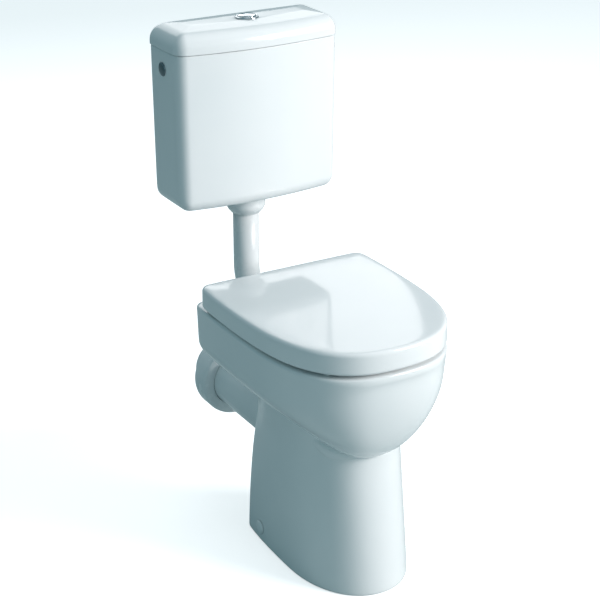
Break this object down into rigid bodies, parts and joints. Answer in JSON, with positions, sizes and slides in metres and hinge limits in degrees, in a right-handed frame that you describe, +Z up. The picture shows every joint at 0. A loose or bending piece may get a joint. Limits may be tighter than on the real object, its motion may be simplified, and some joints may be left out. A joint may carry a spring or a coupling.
{
  "type": "toilet",
  "caption": "Floor-standing washdown toilet pan with seat and cover, and a slim wall-hung dual-flush cistern joined to it by a short flush pipe.",
  "frame": {"origin": "on the floor, midway between the two floor screws of the pan", "axes": "+X to the right for someone facing the wall, +Y towards the wall, +Z up"},
  "size_m": [0.3695, 0.675, 0.9654],
  "materials": {
    "glazed_ceramic": "white glaze",
    "cistern_plastic": "polished white",
    "seat_plastic": "polished white",
    "pipe_plastic": "smooth white",
    "cap_plastic": "smooth white",
    "fixing_plastic": "moulded white",
    "valve_plastic": "moulded pale grey",
    "cage_plastic": "moulded blue",
    "float_plastic": "moulded pale blue",
    "seal_rubber": "soft black",
    "red_rubber": "soft red",
    "buffer_rubber": "soft pale",
    "hinge_chrome": "plated",
    "plug_chrome": "plated",
    "button_chrome": "plated",
    "screw_steel": "zinc plated"
  },
  "bodies": {
    "base": {"pan": "glazed_ceramic", "floor_brackets": "fixing_plastic", "side_screws": "screw_steel", "screw_sleeves": "fixing_plastic", "screw_caps": "cap_plastic", "outlet_connector": "pipe_plastic", "outlet_seal": "seal_rubber", "flush_cone": "seal_rubber", "flush_pipe": "pipe_plastic", "flush_nut": "pipe_plastic", "flush_washer": "seal_rubber", "hinge_posts": "hinge_chrome", "hinge_pins": "screw_steel", "hinge_studs": "screw_steel", "hinge_washers": "seal_rubber", "hinge_wing_nuts": "fixing_plastic", "cistern_body": "cistern_plastic", "lid_pads": "seal_rubber", "side_plug": "plug_chrome", "side_plug_nut": "fixing_plastic", "fill_valve": "valve_plastic", "fill_valve_nut": "fixing_plastic", "fill_valve_washer": "seal_rubber", "fill_valve_pin": "screw_steel", "flush_valve": "cage_plastic", "valve_gasket": "seal_rubber"},
    "seat": {"seat_ring": "seat_plastic", "seat_buffers": "buffer_rubber"},
    "cover": {"seat_cover": "seat_plastic", "cover_buffers": "buffer_rubber"},
    "lid": {"cistern_lid": "cistern_plastic", "button_bezel": "button_chrome", "bezel_nut": "fixing_plastic"},
    "full_flush": {"full_button": "button_chrome", "full_rod": "valve_plastic", "full_spring": "screw_steel"},
    "half_flush": {"half_button": "button_chrome", "half_rod": "valve_plastic", "half_spring": "screw_steel"},
    "flush_core": {"overflow_tube": "valve_plastic", "valve_seal": "red_rubber"},
    "float": {"float_arm": "valve_plastic", "float_cup": "float_plastic"}
  },
  "joints": [
    {"name": "seat_hinge", "type": "hinge", "parent": "base", "child": "seat", "pos_m": [0, 0.084, 0.488], "axis": [1, 0, 0], "range_deg": [-93, 0]},
    {"name": "cover_hinge", "type": "hinge", "parent": "seat", "child": "cover", "pos_m": [0, 0.084, 0.488], "axis": [-1, 0, 0], "range_deg": [0, 96]},
    {"name": "lid_lift", "type": "slide", "parent": "base", "child": "lid", "axis": [0, 0, 1], "range_m": [0, 0.12]},
    {"name": "full_press", "type": "slide", "parent": "lid", "child": "full_flush", "axis": [0, 0, -1], "range_m": [0, 0.006], "stiffness_N_per_m": 300, "deforming": ["full_spring"]},
    {"name": "half_press", "type": "slide", "parent": "lid", "child": "half_flush", "axis": [0, 0, -1], "range_m": [0, 0.006], "stiffness_N_per_m": 300, "deforming": ["half_spring"]},
    {"name": "core_lift", "type": "slide", "parent": "base", "child": "flush_core", "axis": [0, 0, 1], "range_m": [0, 0.012]},
    {"name": "float_swing", "type": "hinge", "parent": "base", "child": "float", "pos_m": [0.117, 0.237, 0.861], "axis": [0, 1, 0], "range_deg": [-25, 0]}
  ],
  "couplings": [
    {"joint": "core_lift", "follows": "full_press", "ratio": 2}
  ]
}
